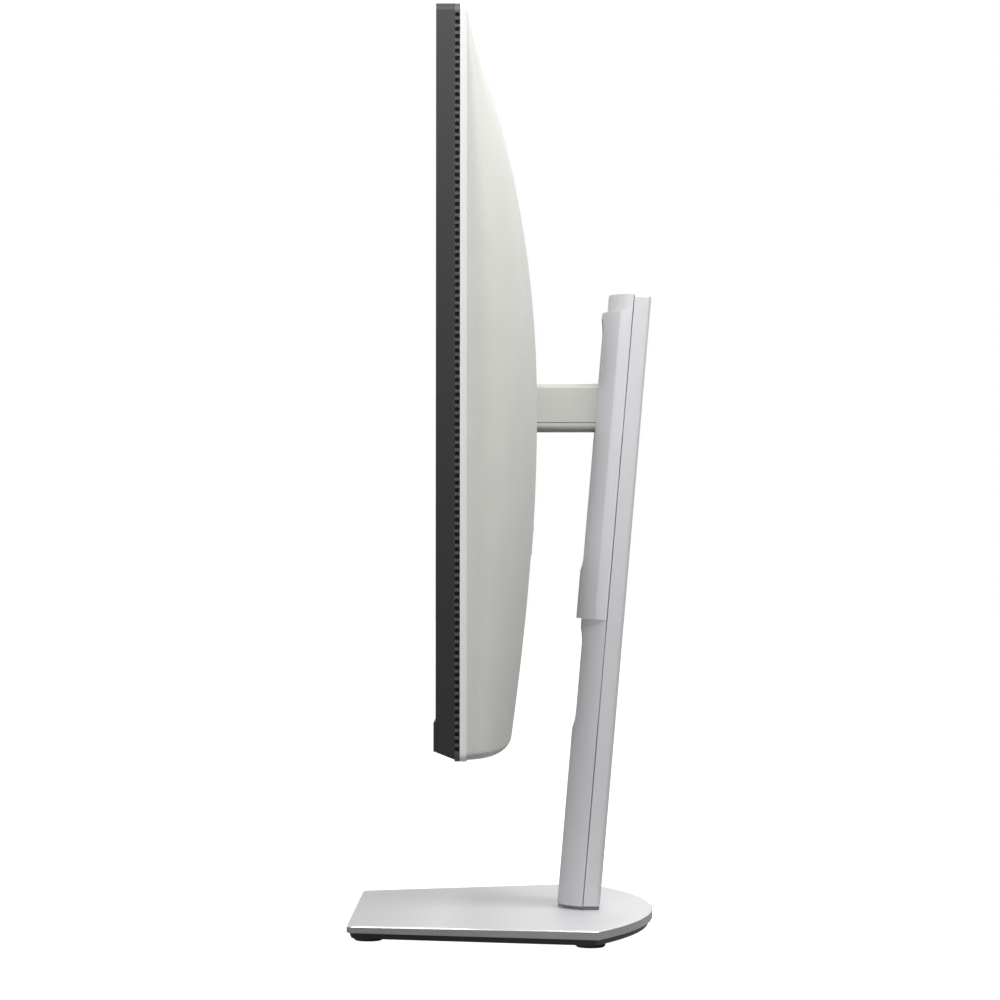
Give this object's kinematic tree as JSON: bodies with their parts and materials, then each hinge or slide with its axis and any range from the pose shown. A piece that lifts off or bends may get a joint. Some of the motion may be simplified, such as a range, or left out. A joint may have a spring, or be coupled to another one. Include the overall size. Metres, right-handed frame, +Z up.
{
  "type": "computer monitor",
  "caption": "Flat widescreen computer monitor with a swelling rear cover, on a leaning height-adjustable column and a flat tapering base; it tilts, swivels and pivots",
  "frame": {"origin": "On the desk, under the middle of the whole object", "axes": "+Z up, the screen faces -Y, +X runs along the screen's width to the right of a person who looks at it"},
  "size_m": [0.611, 0.17, 0.4655],
  "materials": {
    "silver_paint": "satin",
    "column_paint": "satin",
    "cover_plastic": "matt, finely textured",
    "frame_plastic": "satin",
    "black_plastic": "matt",
    "screen_glass": "anti-glare",
    "guide_acrylic": "clear",
    "steel": "plain",
    "die_cast": "as cast",
    "bush_plastic": "natural",
    "rubber": "matt",
    "board_green": "lacquered",
    "board_tan": "lacquered",
    "led_cream": "matt",
    "socket_metal": "plated"
  },
  "bodies": {
    "base": {"base_plate": "silver_paint", "base_underframe": "black_plastic", "base_feet": "rubber", "base_screws": "steel", "hub_bushing": "bush_plastic"},
    "column": {"swivel_hub": "steel", "hub_retainer": "steel", "stand_screw": "steel", "column_foot": "steel", "foot_screws": "steel", "column_front": "column_paint", "column_rear_cover": "column_paint", "column_spine": "steel", "cable_hole_trim": "black_plastic", "slot_cover": "column_paint", "slide_rods": "steel", "rod_blocks": "black_plastic", "spring_strip": "steel"},
    "lift": {"lift_carriage": "die_cast", "carriage_bushes": "bush_plastic", "spring_axle": "steel", "neck_core": "die_cast", "neck_upper_cover": "cover_plastic", "neck_lower_cover": "cover_plastic", "neck_screws": "steel", "tilt_pin": "steel", "tilt_washers": "black_plastic"},
    "coil": {"spring_coil": "steel"},
    "tilt_head": {"tilt_bracket": "steel", "pivot_spindle": "steel", "pivot_washers": "bush_plastic", "pivot_nut": "steel"},
    "display": {"mount_plate": "steel", "mount_tray": "black_plastic", "vesa_plate": "steel", "front_frame": "frame_plastic", "chin_bezel": "frame_plastic", "lcd_glass": "screen_glass", "light_guide": "guide_acrylic", "led_strip": "led_cream", "panel_chassis": "steel", "vent_strip": "frame_plastic", "rear_cover": "cover_plastic", "main_board": "board_green", "power_board": "board_tan", "heat_sink": "die_cast", "shield_can": "steel", "io_tray": "black_plastic", "hdmi_sockets": "socket_metal", "usb_sockets": "socket_metal", "usb_c_socket": "socket_metal", "power_inlet": "black_plastic", "speakers": "black_plastic", "joystick_cup": "black_plastic"},
    "power_key": {"power_button": "frame_plastic"},
    "stick_ring": {"joystick_ring": "steel"},
    "stick": {"joystick_stem": "black_plastic"},
    "stick_cap": {"joystick_cap": "frame_plastic"},
    "release_key": {"release_button": "black_plastic"},
    "latch": {"release_latch": "steel"}
  },
  "joints": [
    {"name": "swivel", "type": "hinge", "parent": "base", "child": "column", "pos_m": [0, 0.04265, 0.0103], "axis": [0, 0, 1], "range_deg": [-30, 30]},
    {"name": "height", "type": "slide", "parent": "column", "child": "lift", "axis": [0, 0.0859, 0.9963], "range_m": [-0.0765, 0.0335]},
    {"name": "coil_roll", "type": "hinge", "parent": "lift", "child": "coil", "pos_m": [0, 0.06384, 0.26561], "axis": [1, 0, 0], "range_deg": [-250, 564]},
    {"name": "tilt", "type": "hinge", "parent": "lift", "child": "tilt_head", "pos_m": [0, 0.013, 0.2961], "axis": [-1, 0, 0], "range_deg": [-5, 21]},
    {"name": "pivot", "type": "hinge", "parent": "tilt_head", "child": "display", "pos_m": [0, 0.0026, 0.2961], "axis": [0, 1, 0], "range_deg": [0, 24]},
    {"name": "power_press", "type": "slide", "parent": "display", "child": "power_key", "axis": [0, 0, 1], "range_m": [0, 0.0008], "stiffness_N_per_m": 400, "springref_m": -0.0008},
    {"name": "stick_up_down", "type": "hinge", "parent": "display", "child": "stick_ring", "pos_m": [-0.25, -0.00535, 0.15], "axis": [1, 0, 0], "range_deg": [-8, 8], "stiffness_Nm_per_rad": 0.02},
    {"name": "stick_left_right", "type": "hinge", "parent": "stick_ring", "child": "stick", "pos_m": [-0.25, -0.00535, 0.15], "axis": [0, 0, 1], "range_deg": [-8, 8], "stiffness_Nm_per_rad": 0.02},
    {"name": "stick_press", "type": "slide", "parent": "stick", "child": "stick_cap", "axis": [0, -1, 0], "range_m": [0, 0.0008], "stiffness_N_per_m": 400, "springref_m": -0.0008},
    {"name": "release_press", "type": "slide", "parent": "display", "child": "release_key", "axis": [0, -1, 0], "range_m": [0, 0.002], "stiffness_N_per_m": 500, "springref_m": -0.001},
    {"name": "latch_drop", "type": "slide", "parent": "display", "child": "latch", "axis": [0, 0, -1], "range_m": [0, 0.002]}
  ],
  "couplings": [
    {"joint": "coil_roll", "follows": "height", "rad_per_m": -127.4},
    {"joint": "latch_drop", "follows": "release_press", "ratio": 1}
  ]
}
